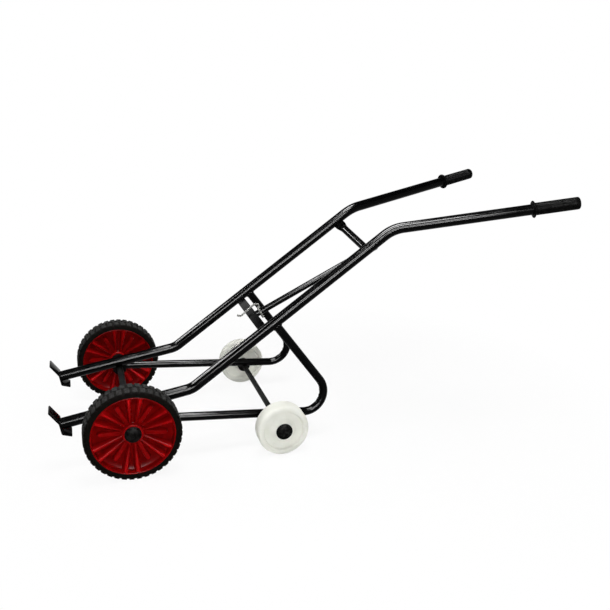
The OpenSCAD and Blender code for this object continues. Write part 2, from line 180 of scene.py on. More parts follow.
# %% Finishes
class Finish(Graph):
    """One material: a Principled shader and the few nodes that vary it."""

    def __init__(self, name, **constants):
        self.material = bpy.data.materials.new(name)
        self.material.use_nodes = True
        super().__init__(self.material.node_tree)
        self.shader = self.tree.nodes["Principled BSDF"]
        for socket, number in constants.items():
            self.shader.inputs[socket.replace("_", " ")].default_value = number
        self.place = self.node("ShaderNodeTexCoord", output="Object")

    def grain(self, size, detail=2.0):
        """Noise whose patches are about size metres across."""
        return self.node("ShaderNodeTexNoise", {},
                         {"Vector": self.place, "Scale": 1 / size, "Detail": detail})

    def blend(self, mask, first, second):
        """A colour that goes from first to second as mask goes from 0 to 1."""
        first, second = (c if isinstance(c, Signal) else (*c, 1.0) for c in (first, second))
        return self.node("ShaderNodeMix", {"data_type": "RGBA"}, {0: mask, 6: first, 7: second}, output=2)

    def feed(self, socket, value):
        self.plug(self.shader.inputs[socket], value)

    def relief(self, height, depth):
        """Bump from a height of 0 to 1 that stands for depth metres."""
        self.feed("Normal", self.node("ShaderNodeBump", {}, {"Height": height, "Distance": depth}))


print("finishes ready")

# %% [markdown]
# ## Black paint on steel
# The frame is sprayed and baked gloss black. In the photograph it is black right up to its edges, with a
# few bright lines, so it mirrors little of the white room: the specular level is set far below the usual
# 0.5, and the lamps that draw the lines are strong instead. Such paint is never quite flat, so a faint
# grain goes into the bump, and a slow change of roughness keeps the lines from looking ruled. The bars of
# square steel have a duller coat.

# %% Gloss black paint
def black_paint(name, colour, roughness, shine):
    """Black paint, a little dusty in patches, with its roughness and its specular level."""
    paint = Finish(name, Roughness=roughness, Specular_IOR_Level=shine)
    dust = paint.ramp(paint.grain(0.03, 4.0), 0.5, 0.8)
    paint.feed("Base Color", paint.blend(dust, colour, tuple(c * 1.8 for c in colour)))
    paint.feed("Roughness", paint.ramp(paint.grain(0.04, 3.0), 0.3, 0.7, roughness * 0.75, roughness * 1.4))
    paint.relief(paint.grain(0.015, 1.0), 0.00008)
    return paint.material


frame_paint = black_paint("frame_paint", (0.0009, 0.0009, 0.0010), 0.13, 0.03)
bar_paint = black_paint("bar_paint", (0.010, 0.010, 0.010), 0.4, 0.012)
print("paint:", frame_paint.name, bar_paint.name)

# %% [markdown]
# ## Red plastic
# The wheels' centres are moulded in deep red polypropylene, which is a little waxy. Flow marks from the
# mould show as faint cloudy changes of shade. Light is painted into the colour: the ribs catch more light
# than the thin web, so the colour brightens with the height above the web's middle plane, a painted
# highlight on the ribs and painted shade on the web, and less on the lip round the rim.

# %% Deep red polypropylene
red = Finish("red_plastic", Roughness=0.3, Specular_IOR_Level=0.008)
cloud = red.ramp(red.grain(0.02, 3.0), 0.35, 0.7)
from_axle = red.node("ShaderNodeMapping", {}, {"Vector": red.place, "Location": -(axle_low + axle_high) / 2})
x, across, z = red.parts(from_axle)
# Painted light: the height above the web's middle plane, from 3 to 22 mm, brightens the colour; the lip keeps
# most of the darker colour.
height = red.node("ShaderNodeMath", {"operation": "ABSOLUTE"}, {0: across}) - TRACK_HALF / 1000
lit_by_height = red.ramp(red.node("ShaderNodeMath", {"operation": "ABSOLUTE"}, {0: height}), 0.003, 0.022)
lip = red.ramp((x * x + z * z) ** 0.5, 0.1075, 0.1090)
# The darker web colour is painted shade and the brighter crest colour a painted highlight.
shaded_web = red.blend(cloud, (0.132, 0.0003, 0.0004), (0.190, 0.0006, 0.0008))
crest = red.blend(cloud, (0.34, 0.002, 0.003), (0.42, 0.005, 0.006))
red.feed("Base Color", red.blend(lit_by_height * (1 - lip * 0.75), shaded_web, crest))
red.feed("Roughness", red.ramp(red.grain(0.006, 2.0), 0.3, 0.7, 0.22, 0.34))
red.relief(red.grain(0.004, 2.0), 0.00006)
red_plastic = red.material
print("plastic:", red_plastic.name)

# %% [markdown]
# ## Tyre rubber
# Solid rubber is coloured black on its moulded sides and grey on the tread, in patches. The mask that
# tells tread from side wall is the distance from the wheel's own axle line, worked out from the Object
# coordinates.

# %% Rubber that greys towards the tread
def rubber(name, wheel_side):
    low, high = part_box("wheel_tyre_" + wheel_side)
    made = Finish(name, Roughness=0.7, Specular_IOR_Level=0.002)
    from_hub = made.node("ShaderNodeMapping", {}, {"Vector": made.place, "Location": -(low + high) / 2})
    x, _, z = made.parts(from_hub)
    out = (x * x + z * z) ** 0.5
    # Grey on the tread, past 127.5 mm from the axle, broken into noise patches; black on the sides.
    grey_tread = made.ramp(out, 0.1275, 0.1308) * made.ramp(made.grain(0.005, 4.0), 0.3, 0.62, 0.4, 1.0)
    made.feed("Base Color", made.blend(grey_tread, (0.0045, 0.0038, 0.003), (0.044, 0.044, 0.043)))
    made.feed("Roughness", made.ramp(grey_tread, 0.0, 1.0, 0.55, 0.85))
    made.relief(made.grain(0.0011, 3.0) + made.grain(0.006, 2.0) * 0.6, 0.0002)
    return made.material


tyre_rubber = {side_name: rubber("tyre_rubber_" + side_name, side_name) for side_name in SIDES}
print("rubber:", [m.name for m in tyre_rubber.values()])

# %% [markdown]
# ## Nylon, grip rubber, caps and zinc
# The rollers are turned from cream-white nylon, the grips are matt ribbed vinyl and the caps pressed
# black plastic. The catch hook alone is zinc-plated. The plating has gone dull, and its crystals make it
# blotchy close up, so a rough grey with bright patches does better here than a polished metal.

# %% The smaller finishes
nylon = Finish("white_nylon", Roughness=0.42, Specular_IOR_Level=0.002)
shade = nylon.ramp(nylon.grain(0.03, 3.0), 0.3, 0.7)
nylon.feed("Base Color", nylon.blend(shade, (0.80, 0.805, 0.725), (0.86, 0.865, 0.80)))
nylon.relief(nylon.grain(0.0013, 2.0) * 0.5 + nylon.grain(0.009, 2.0), 0.0001)

vinyl = Finish("grip_vinyl", Roughness=0.36, Specular_IOR_Level=0.005)
rub = vinyl.ramp(vinyl.grain(0.01, 4.0), 0.35, 0.7)
vinyl.feed("Base Color", vinyl.blend(rub, (0.002, 0.002, 0.002), (0.005, 0.005, 0.0048)))
vinyl.feed("Roughness", vinyl.ramp(rub, 0.0, 1.0, 0.26, 0.42))
vinyl.relief(vinyl.grain(0.0014, 2.0), 0.00015)

cap = Finish("cap_plastic", Roughness=0.4, Specular_IOR_Level=0.004)
scuff = cap.ramp(cap.grain(0.008, 4.0), 0.4, 0.7)
cap.feed("Base Color", cap.blend(scuff, (0.003, 0.0028, 0.0026), (0.016, 0.0155, 0.015)))
cap.feed("Roughness", cap.ramp(scuff, 0.0, 1.0, 0.3, 0.5))
cap.relief(cap.grain(0.006, 2.0), 0.0012)

zinc = Finish("zinc_plate", Roughness=0.35, Specular_IOR_Level=0.015)
bloom = zinc.ramp(zinc.grain(0.004, 4.0), 0.35, 0.65)
zinc.feed("Base Color", zinc.blend(bloom, (0.14, 0.14, 0.13), (0.36, 0.36, 0.34)))
zinc.feed("Roughness", zinc.ramp(bloom, 0.0, 1.0, 0.24, 0.42))
zinc.relief(zinc.grain(0.0025, 2.0), 0.0001)
print("also:", [f.material.name for f in (nylon, vinyl, cap, zinc)])

# %% [markdown]
# ## From a bmesh to a finished piece
# Every new piece ends the same way: parked, its normals pointed outwards, shaded smooth except over
# real corners, given its finish and told which body it rides on, while the solids it stands for are
# hidden. The left side is the mirror of the right, so a flag is enough to get both.

# %% Finish a piece
ACROSS = Matrix.Scale(-1, 4, (0, 1, 0))
shapes = {}


def piece(name, bm, material, body, stands_for=(), mirrored=False, corner=32):
    """Parks a workshop-drawn shape and hands it over, shaded sharp past corner degrees."""
    bmesh.ops.remove_doubles(bm, verts=bm.verts, dist=0.0005)
    if mirrored:
        bmesh.ops.transform(bm, matrix=ACROSS, verts=bm.verts)
    bmesh.ops.transform(bm, matrix=PARK, verts=bm.verts)
    bmesh.ops.recalc_face_normals(bm, faces=bm.faces)
    for face in bm.faces:
        face.smooth = True
    mesh = bpy.data.meshes.new(name)
    bm.to_mesh(mesh)
    bm.free()
    mesh.set_sharp_from_angle(angle=math.radians(corner))
    mesh.materials.append(material)
    made = bpy.data.objects.new(name, mesh)
    bpy.context.scene.collection.objects.link(made)
    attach(made, body)
    if stands_for:
        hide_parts(*stands_for)
    shapes[name] = made
    return made


def join(bm, other):
    """Adds another bmesh's shape to bm and frees it."""
    mesh = bpy.data.meshes.new("scratch")
    other.to_mesh(mesh)
    other.free()
    bm.from_mesh(mesh)
    bpy.data.meshes.remove(mesh)


# %% [markdown]
# ## Bending a tube
# A tube bender feeds a straight length, then swings the tube round a former. The function below does
# the same: it draws a circle square to the first run, extrudes it along the straights and spins it
# round each corner's own centre. It keeps true round sections through every bend, which a curve with
# a bevel doesn't promise. Both ends are closed. An open mouth is a lid sunk into the tube, so that the
# wall's thickness shows round it.

# %% The tube bender
WALL, MOUTH_DEPTH, LENGTH_STEP = 2.0, 12.0, 60.0


def tube(corners, diameter, around=40, open_start=False):
    """A round tube through corners, each (x, y, z) with a fourth number, the bend's middle radius."""
    bm = bmesh.new()
    points = [Vector(c[:3]) for c in corners]
    stand = Vector((0, 0, 1)).rotation_difference(points[1] - points[0]).to_matrix().to_4x4()
    bmesh.ops.create_circle(bm, segments=around, radius=diameter / 2,
                            matrix=Matrix.Translation(points[0]) @ stand)
    ring = bm.edges[:]
    first, at = ring[:], points[0]
    for k in range(1, len(points)):
        way = (points[k] - points[k - 1]).normalized()
        stop, bend = points[k], 0.0
        if k < len(points) - 1:
            onward = (points[k + 1] - points[k]).normalized()
            bend = way.angle(onward)
            stop = points[k] - way * corners[k][3] * math.tan(bend / 2)
        lengths = max(1, round((stop - at).length / LENGTH_STEP))
        for _ in range(lengths):
            grown = bmesh.ops.extrude_edge_only(bm, edges=ring)["geom"]
            bmesh.ops.translate(bm, vec=(stop - at) / lengths,
                                verts=[g for g in grown if isinstance(g, bmesh.types.BMVert)])
            ring = [g for g in grown if isinstance(g, bmesh.types.BMEdge)
                    and all(v in grown for v in g.verts)]
        at = stop
        if bend:
            axis = way.cross(onward).normalized()
            spun = bmesh.ops.spin(bm, geom=ring, cent=stop + axis.cross(way) * corners[k][3], axis=axis,
                                  angle=bend, steps=max(8, round(math.degrees(bend))), use_duplicate=False)
            ring = [g for g in spun["geom_last"] if isinstance(g, bmesh.types.BMEdge)]
            at = points[k] + onward * corners[k][3] * math.tan(bend / 2)
    for edges, outwards, is_open in ((first, points[0] - points[1], open_start),
                                     (ring, points[-1] - points[-2], False)):
        lid = bmesh.ops.contextual_create(bm, geom=edges)["faces"]
        if is_open:
            bmesh.ops.inset_region(bm, faces=lid, thickness=WALL)
            bmesh.ops.translate(bm, vec=outwards.normalized() * -MOUTH_DEPTH, verts=list(lid[0].verts))
    return bm


def slope(degrees):
    """The direction that climbs at that angle, seen from the side."""
    return Vector((math.cos(math.radians(degrees)), 0.0, math.sin(math.radians(degrees))))


print("bender ready")

# %% [markdown]
# ## The main tubes
# Each side of the frame is one 32 mm tube: a nearly level run behind the hook, a long slope up the
# back of the load, and a handle that turns outwards as it levels off. They carry everything else, so
# their corner points come straight from the workshop drawing.

# %% Bend the main tubes
RAIL_Y, TUBE_D = 170.0, 32.0
FRONT_RUN, FRONT_RISE, FRONT_BEND = 367.0, 14.5, 70.0
MID_RUN, MID_RISE = 744.5, 40.7
HANDLE_RUN, HANDLE_RISE, HANDLE_SPLAY, HANDLE_BEND = 550.0, 13.3, 16.0, 115.0
END_GAP = 5.0
corner_1 = Vector((173.7, RAIL_Y, 76.2))
corner_2 = corner_1 + MID_RUN * slope(MID_RISE)
rise, splay = math.radians(HANDLE_RISE), math.radians(HANDLE_SPLAY)
handle_way = Vector((math.cos(rise) * math.cos(splay), math.cos(rise) * math.sin(splay), math.sin(rise)))
handle_end = corner_2 + HANDLE_RUN * handle_way
tube_front = corner_1 - FRONT_RUN * slope(FRONT_RISE)
tube_back = handle_end - END_GAP * handle_way

for side_name in SIDES:
    bm = tube([(*tube_front, 0), (*corner_1, FRONT_BEND), (*corner_2, HANDLE_BEND), (*tube_back, 0)],
              TUBE_D, open_start=True)
    piece("main_tube_" + side_name + "_bent", bm, frame_paint, "frame",
          ["main_tube_" + side_name], mirrored=side_name == "left")
    print(side_name, "main tube:", len(shapes["main_tube_" + side_name + "_bent"].data.polygons), "faces")

# %% [markdown]
# ## The lower loops
# A thinner tube starts at the axle, runs back along the bottom, turns up through a tight bend and leans
# inwards to meet the main tube from below. A tight bend crumples the tube's inner side into small
# ripples. They are real shape, so the vertices on the inside of the bend are pushed in and out.

# %% Bend the loops and ripple them
LOOP_D, LOOP_Y, LOOP_Z, LOOP_BEND = 25.0, 203.0, 4.2, 59.0
LOOP_START, LOOP_CORNER, LOOP_TOP, LOOP_TUCK = 9.0, 637.0, 302.0, 8.0
RIPPLE_H = 0.45
backwards = Vector((1, 0, 0))
loop_front = Vector((LOOP_START, LOOP_Y, LOOP_Z))
loop_low = Vector((LOOP_CORNER, LOOP_Y, LOOP_Z))
loop_high = corner_1 + LOOP_TOP * slope(MID_RISE)
leg = (loop_high - loop_low).normalized()
loop_turn = backwards.angle(leg)


def ripple(bm):
    """Pushes the vertices inside the bend in and out, most in the bend's middle."""
    axis = backwards.cross(leg).normalized()
    start = loop_low - backwards * LOOP_BEND * math.tan(loop_turn / 2)
    centre = start + axis.cross(backwards) * LOOP_BEND
    for v in bm.verts:
        out = v.co - centre
        out -= axis * out.dot(axis)
        inner = (LOOP_BEND - out.length) / (LOOP_D / 2)
        turned = (start - centre).angle(out) if out.length > 1 else 0
        ahead = out.dot(backwards)
        if inner > 0.2 and out.length < LOOP_BEND and 0.15 < turned < loop_turn - 0.1 and ahead > 0:
            fade = min(1.0, (inner - 0.2) / 0.5) * math.sin(math.pi * turned / loop_turn) ** 0.5
            v.co += out.normalized() * RIPPLE_H * fade * math.sin(turned * 17 + 1.3 * math.sin(turned * 5))


for side_name in SIDES:
    bm = tube([(*loop_front, 0), (*loop_low, LOOP_BEND), (*(loop_high - leg * LOOP_TUCK), 0)], LOOP_D)
    ripple(bm)
    piece("loop_" + side_name + "_bent", bm, frame_paint, "frame",
          ["loop_" + side_name], mirrored=side_name == "left")
    print(side_name, "loop turns", round(math.degrees(loop_turn), 1), "degrees")

# %% [markdown]
# ## The cross tube and the rod
# Between the two main tubes hangs a shallow V of thinner tube, with both ends pressed flat and welded to
# the main tubes' inner flanks. Pressing keeps the wall's length, so what the end loses in height it
# gains in width: each section is scaled down one way and up the other, eased in over a short run. A
# rod runs from the V's lowest point down to the flat strap.

# %% Press and place the cross tube
CROSS_D, CROSS_S, CROSS_DROP, CROSS_BEND = 25.0, 679.0, 81.0, 60.0
ARM_Y, ARM_DROP = 162.0, 11.0
ROD_D, ROD_S, ROD_DROP, ROD_TUCK = 20.0, 265.0, 13.0, 4.0
THINNED, WIDENED = 0.7, 0.4
mid_way, mid_up = slope(MID_RISE), slope(MID_RISE + 90)
centre_line = Vector((corner_1.x, 0.0, corner_1.z))


def below(along, across, drop):
    """A point under the sloping run: so far along it, so far to one side and so far below it."""
    return centre_line + along * mid_way + Vector((0, across, 0)) - drop * mid_up


def pressed(bm, end, way, flat=14.0, run=26.0):
    """Flattens the tube's end, which points along way, and widens it along the main tube."""
    thin = way.cross(mid_way).normalized()
    for v in bm.verts:
        off = v.co - end
        inward = -off.dot(way)
        if inward < flat + run and abs(v.co.y - end.y) < ARM_Y / 2:
            ease = min(1.0, max(0.0, (flat + run - inward) / run))
            ease = ease * ease * (3 - 2 * ease)
            v.co += mid_way * off.dot(mid_way) * WIDENED * ease - thin * off.dot(thin) * THINNED * ease


lowest = below(CROSS_S, 0, CROSS_DROP)
arm_ends = [below(CROSS_S, across, ARM_DROP) for across in (-ARM_Y, ARM_Y)]
bm = tube([(*arm_ends[0], 0), (*lowest, CROSS_BEND), (*arm_ends[1], 0)], CROSS_D)
long_edges = [e for e in bm.edges if e.calc_length() > 12 and len(e.link_faces) == 2
              and abs(e.verts[0].co.y - e.verts[1].co.y) > 10]
bmesh.ops.subdivide_edges(bm, edges=long_edges, cuts=7)
for end in arm_ends:
    pressed(bm, end, (end - lowest).normalized())
piece("cross_tube_pressed", bm, frame_paint, "frame", ["cross_tube"])

rod_low = below(ROD_S, 0, ROD_DROP)
rod_way = (lowest - rod_low).normalized()
rod_high = lowest - rod_way * ROD_TUCK
bm = tube([(*rod_low, 0), (*rod_high, 0)], ROD_D, around=32)
piece("middle_rod_straight", bm, frame_paint, "frame", ["middle_rod"])
print("rod", round((lowest - rod_low).length, 1), "mm long")

# %% [markdown]
# ## The catch hook
# A hook of 6 mm zinc-plated wire hangs on the rod by a closed ring, and its shaft reaches forward over
# the strap. The ring is a torus square to the rod; the shaft is the tube bender's work again, with its
# tip turned up a little.

# %% Bend the catch hook
WIRE_D, RING_R, RING_UP, RING_HANG = 6.0, 16.0, 25.5, 2.7
ring_at = rod_low + rod_way * RING_UP + rod_way.cross(Vector((0, -1, 0))).normalized() * RING_HANG
bm = bmesh.new()
square_on = Vector((0, 0, 1)).rotation_difference(rod_way).to_matrix().to_4x4()
bmesh.ops.create_circle(bm, segments=14, radius=WIRE_D / 2, matrix=Matrix.Translation((RING_R, 0, 0))
                        @ Matrix.Rotation(math.pi / 2, 4, "X"))
bmesh.ops.spin(bm, geom=bm.verts[:] + bm.edges[:], cent=(0, 0, 0), axis=(0, 0, 1), angle=2 * math.pi,
               steps=48, use_merge=True, use_duplicate=False)
bmesh.ops.transform(bm, matrix=Matrix.Translation(ring_at) @ square_on, verts=bm.verts)
shaft = [(333, 0, 241, 0), (344, 0, 238.5, 6), (378, 0, 272, 14), (393, 0, 282, 8), (401, 0, 266, 0)]
join(bm, tube(shaft, WIRE_D, around=14))
piece("catch_hook_wire", bm, zinc.material, "frame", ["catch_hook"])
print("ring at", tuple(round(c, 1) for c in ring_at))

# %% [markdown]
# ## Turned parts
# Wheels, rollers, caps and grips are round, so each starts as half a section and is spun a full turn.
# Corners are rounded on the section itself, with a vertex bevel, before the spin: one rounded corner
# there becomes a clean fillet all the way round. A section that reaches the middle stops a hair short
# of the axis, at AXIS_R, so that its last faces keep four corners.

# %% The lathe
AXIS_R = 0.02


def turned(section, steps):
    """A closed half section of (radius, across, rounding), spun about the Y axis."""
    bm = bmesh.new()
    corners = [bm.verts.new((r, y, 0.0)) for r, y, _ in section]
    for one, two in zip(corners, corners[1:] + corners[:1]):
        bm.edges.new((one, two))
    for vert, (_, _, rounding) in list(zip(corners, section)):
        if rounding:
            bmesh.ops.bevel(bm, geom=[vert], offset=rounding, segments=4, profile=0.5,
                            affect="VERTICES", material=-1)
    bmesh.ops.spin(bm, geom=bm.verts[:] + bm.edges[:], cent=(0, 0, 0), axis=(0, 1, 0),
                   angle=2 * math.pi, steps=steps, use_merge=True, use_duplicate=False)
    return bm


def both_faces(half):
    """A section that is alike on both faces, from its points with across above 0."""
    return half + [(r, -y, rounding) for r, y, rounding in reversed(half)]


def shift(bm, *by):
    """Moves a shape by x, y and z, and gives it back."""
    bmesh.ops.translate(bm, vec=by, verts=bm.verts)
    return bm


print("lathe ready")

# %% [markdown]
# ## The wheels' red centres
# The centre is one moulding: a hub, a thin web, and a ring that carries the tyre and ends in a rounded
# lip. Six pairs of ribs spread from the hub like narrow V's and climb to the ring, with a short round-
# ended ridge between each two. Ribs are tapered for the mould, so each is a cube drawn out and pinched
# at its crest, with the crest's edges rounded.

# %% Mould a wheel's centre
RIM_R, TYRE_HALF, RING_T = 113.0, 30.0, 3.5
RIB_PAIRS, RIB_SPREAD_IN, RIB_SPREAD_OUT = 6, 13.0, 34.5


def rib(face, spread_in, spread_out, near=26.0, far=111.3, root=23.0, crest=8.5, low=7.0, high=27.0):
    """A rib from near to far off the axle, root wide at its foot and crest at its top where it ends."""
    bm = bmesh.new()
    bmesh.ops.create_cube(bm, size=1.0)
    bmesh.ops.subdivide_edges(bm, edges=[e for e in bm.edges if abs(e.verts[0].co.x - e.verts[1].co.x) > 0.5],
                              cuts=5, use_grid_fill=True)
    for v in bm.verts:
        along = v.co.x + 0.5
        thick = (crest if v.co.z > 0 else root) * (0.5 + 0.5 * along)
        tall_here = low + (high - low) * along
        v.co = Vector((near + (far - near) * along,
                       v.co.y * thick + (spread_in + (spread_out - spread_in) * along) / 2,
                       tall_here if v.co.z > 0 else 0.0))
    crest_edges = [e for e in bm.edges if all(v.co.z > 1 for v in e.verts) and len(e.link_faces) == 2
                   and e.calc_face_angle(0) > 0.5 and abs(e.verts[0].co.x - e.verts[1].co.x) > 1]
    bmesh.ops.bevel(bm, geom=crest_edges, offset=1.6, segments=3, profile=0.5, affect="EDGES", material=-1)
    bmesh.ops.rotate(bm, matrix=Matrix.Rotation(-math.pi / 2 * face, 3, "X"), verts=bm.verts)
    return bm


def ridge(face, near=26.0, far=91.0, width=10.0, low=4.9, high=13.5):
    """The short ridge between two pairs: a round boss, drawn out towards the hub."""
    bm = bmesh.new()
    bmesh.ops.create_cone(bm, cap_ends=True, segments=24, radius1=width / 2 + 3.5, radius2=width / 2 - 1,
                          depth=1.0, matrix=Matrix.Translation((far - width / 2, 0, 0.5)))
    inner = [v for v in bm.verts if v.co.x < far - width / 2 - 0.01]
    bmesh.ops.translate(bm, vec=(near - far + width / 2, 0, 0), verts=inner)
    for v in bm.verts:
        v.co.z *= low + (high - low) * (v.co.x - near) / (far - near)
    rim_edges = [e for e in bm.edges if all(v.co.z > 1 for v in e.verts)]
    bmesh.ops.bevel(bm, geom=rim_edges, offset=1.8, segments=3, profile=0.5, affect="EDGES", material=-1)
    bmesh.ops.rotate(bm, matrix=Matrix.Rotation(-math.pi / 2 * face, 3, "X"), verts=bm.verts)
    return bm


def wheel_centre():
    bm = turned(both_faces([(10.05, 16, 1), (28, 16, 2), (28, 2.5, 2), (97, 2.5, 6), (RIM_R - RING_T, 7.5, 3),
                            (RIM_R - RING_T, TYRE_HALF, 1.6), (RIM_R, TYRE_HALF, 1.6)]), steps=144)
    for face in (-1, 1):
        for k in range(RIB_PAIRS):
            for spread in (1, -1):
                one = rib(face, RIB_SPREAD_IN * spread, RIB_SPREAD_OUT * spread)
                turn = Matrix.Rotation((k + 0.5) * 2 * math.pi / RIB_PAIRS, 3, "Y")
                bmesh.ops.rotate(one, matrix=turn, verts=one.verts)
                join(bm, one)
            one = ridge(face)
            turn = Matrix.Rotation(k * 2 * math.pi / RIB_PAIRS, 3, "Y")
            bmesh.ops.rotate(one, matrix=turn, verts=one.verts)
            join(bm, one)
    return shift(bm, 0, TRACK_HALF, 0)


for side_name in SIDES:
    made = piece("wheel_centre_" + side_name, wheel_centre(), red_plastic, "wheel_" + side_name,
                 ["wheel_rim_" + side_name], mirrored=side_name == "left")
    print(made.name, len(made.data.polygons), "faces")

# %% [markdown]
# ## Block-tread tyres
# The tyre is a solid rubber ring with two rows of forty lugs, the rows half a pitch apart, and a narrow
# groove between them. A lug wraps over the shoulder, so it starts as a slice of the tyre's own outline.
# Extruding that slice a few degrees round the wheel and rounding its edges makes one lug, and copies
# turned about the axle make the rest.

# %% Mould the tyres
LUGS, LUG_H, LUG_FILL, GROOVE, SHOULDER = 40, 3.0, 0.66, 4.0, 6.0


def lug(row):
    """One tread block of the row on the positive or negative side."""
    bm = bmesh.new()
    h, crown = TYRE_HALF, WHEEL_R
    outline = [(crown - LUG_H - 2, GROOVE / 2), (crown, GROOVE / 2), (crown, h - SHOULDER),
               (crown - 1.8, h - 1.8), (crown - SHOULDER, h), (crown - 8, h), (crown - 11, h - 3),
               (crown - 6, h - 9)]
    face = bm.faces.new([bm.verts.new((r, y * row, 0)) for r, y in outline])
    pitch = 2 * math.pi / LUGS
    bmesh.ops.rotate(bm, matrix=Matrix.Rotation(-pitch * LUG_FILL / 2, 3, "Y"), verts=bm.verts)
    grown = bmesh.ops.extrude_face_region(bm, geom=[face])["geom"]
    bmesh.ops.rotate(bm, matrix=Matrix.Rotation(pitch * LUG_FILL, 3, "Y"),
                     verts=[g for g in grown if isinstance(g, bmesh.types.BMVert)])
    bmesh.ops.recalc_face_normals(bm, faces=bm.faces)
    edges = [e for e in bm.edges if e.calc_face_angle(0) > 0.6
             and all(math.hypot(v.co.x, v.co.z) > crown - 10 for v in e.verts)]
    bmesh.ops.bevel(bm, geom=edges, offset=0.9, segments=2, profile=0.5, affect="EDGES", material=-1)
    return bm


def tyre():
    base = WHEEL_R - LUG_H
    h = TYRE_HALF
    bm = turned(both_faces([(RIM_R, h - 0.6, 0), (RIM_R + 2, h, 1), (base - SHOULDER, h, 2),
                            (base - 1.8, h - 1.8, 1.5), (base, h - SHOULDER, 2)]), steps=160)
    for row in (1, -1):
        mesh = bpy.data.meshes.new("lug")
        made = lug(row)
        made.to_mesh(mesh)
        made.free()
        for k in range(LUGS):
            turn = Matrix.Rotation((k + (0.5 if row < 0 else 0)) * 2 * math.pi / LUGS, 4, "Y")
            mesh.transform(turn)
            bm.from_mesh(mesh)
            mesh.transform(turn.inverted())
        bpy.data.meshes.remove(mesh)
    return shift(bm, 0, TRACK_HALF, 0)


for side_name in SIDES:
    made = piece("tyre_" + side_name, tyre(), tyre_rubber[side_name], "wheel_" + side_name,
                 ["wheel_tyre_" + side_name], mirrored=side_name == "left", corner=40)
    print(made.name, len(made.data.polygons), "faces")

# %% [markdown]
# ## Rollers and caps
# The rear rollers are turned from solid nylon, with well-rounded edges, a shallow recess in each face
# and a cone round the bore. Black caps close the ends of both axles: a pressed dome with a small step
# round its foot.

# %% Turn the rollers and caps
ROLLER_Y, HUB_CAP_Y, ROLLER_CAP_Y = 265.0, 288.4, 290.4
HUB_CAP_R, ROLLER_CAP_R, CAP_RISE, CAP_FOOT = 23.0, 24.0, 13.0, 4.0


def roller():
    bm = turned(both_faces([(6.05, 25, 0.5), (28.5, 25, 1.5), (37, 17.2, 2), (57, 17, 2), (59.5, 25, 1.5),
                            (75, 25, 8)]), steps=128)
    return shift(bm, WHEELBASE, ROLLER_Y, -ROLLER_DROP)


def domed_cap(radius, *at):
    bm = turned([(AXIS_R, 0, 0), (radius, 0, 0.4), (radius, CAP_FOOT, 0.8),
                 (radius - 1.5, CAP_FOOT + 0.6, 0.5), (radius * 0.86, CAP_RISE * 0.74, 2.5),
                 (radius * 0.45, CAP_RISE, 3), (AXIS_R, CAP_RISE, 0)], steps=72)
    return shift(bm, *at)


for side_name in SIDES:
    flip = side_name == "left"
    piece("nylon_roller_" + side_name, roller(), nylon.material, "roller_" + side_name,
          ["roller_" + side_name], mirrored=flip)
    piece("axle_cap_" + side_name, domed_cap(HUB_CAP_R, 0, HUB_CAP_Y, 0), cap.material, "frame",
          ["hub_cap_" + side_name], mirrored=flip)
    piece("roller_end_cap_" + side_name, domed_cap(ROLLER_CAP_R, WHEELBASE, ROLLER_CAP_Y, -ROLLER_DROP),
          cap.material, "frame", ["roller_cap_" + side_name], mirrored=flip)
print("turned:", [n for n in shapes if "roller" in n or "cap" in n])

# %% [markdown]
# ## Grips
# A vinyl grip is pulled over each handle's end. It has a flange towards the frame that keeps the hand
# back, shallow rings along its length, and a rounded closed end. The rings are part of the section.

# %% Mould the grips
GRIP_RUN, GRIP_R, GRIP_BORE, GRIP_END = 138.0, 18.5, 16.1, 4.0
GRIP_RINGS, RING_DEPTH = 30, 0.7


def grip():
    section = [(GRIP_BORE, 0, 0), (24, 0, 1.5), (26, 2, 1.2), (24, 4.5, 1.5), (19.5, 5, 1.5)]
    for k in range(GRIP_RINGS):
        y = 9 + k * (GRIP_RUN - 24) / GRIP_RINGS
        section += [(GRIP_R - RING_DEPTH, y, 0), (GRIP_R, y + 0.9, 0), (GRIP_R, y + 2.6, 0)]
    section += [(GRIP_R, GRIP_RUN - 12, 0), (GRIP_R, GRIP_RUN, 5), (AXIS_R, GRIP_RUN, 0),
                (AXIS_R, GRIP_RUN - GRIP_END, 0), (GRIP_BORE, GRIP_RUN - GRIP_END, 0)]
    bm = turned(section, steps=64)
    bmesh.ops.rotate(bm, matrix=Vector((0, 1, 0)).rotation_difference(handle_way).to_matrix(), verts=bm.verts)
    return shift(bm, *(handle_end - GRIP_RUN * handle_way))


for side_name in SIDES:
    made = piece("ribbed_grip_" + side_name, grip(), vinyl.material, "frame",
                 ["grip_" + side_name], mirrored=side_name == "left", corner=50)
    print(made.name, len(made.data.polygons), "faces")

# %% [markdown]
# ## Flat bars with eased edges
# Hooks, plates, the strap and the rollers' bar are cut from flat or square steel. Their shape is right
# in the CAD model, but paint never leaves an edge sharp: it draws back into a small radius that catches
# the light as a thin line. Each is copied, its flat faces made whole again and its edges rounded.

# %% Ease the edges
def eased(name, offset, material):
    """Makes a copy of a bar, all its sharp edges rounded, and returns its number of faces."""
    bm = bmesh.new()
    bm.from_mesh(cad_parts[name].data)
    bmesh.ops.transform(bm, matrix=PARK.inverted(), verts=bm.verts)
    bmesh.ops.remove_doubles(bm, verts=bm.verts, dist=0.002)
    bmesh.ops.dissolve_limit(bm, angle_limit=math.radians(1), verts=bm.verts, edges=bm.edges)
    sharp = [e for e in bm.edges if len(e.link_faces) == 2 and e.calc_face_angle(0) > math.radians(40)]
    bmesh.ops.bevel(bm, geom=sharp, offset=offset, segments=3, profile=0.5, affect="EDGES", material=-1,
                    clamp_overlap=True)
    made = piece(name + "_eased", bm, material, "frame", [name], corner=20)
    return len(made.data.polygons)


for name, offset in (("hook_left", 0.8), ("hook_right", 0.8), ("axle_plate_left", 0.8),
                     ("axle_plate_right", 0.8), ("cross_strap", 1.0)):
    print(name, eased(name, offset, frame_paint), "faces")
print("roller_axle", eased("roller_axle", 0.9, bar_paint), "faces")

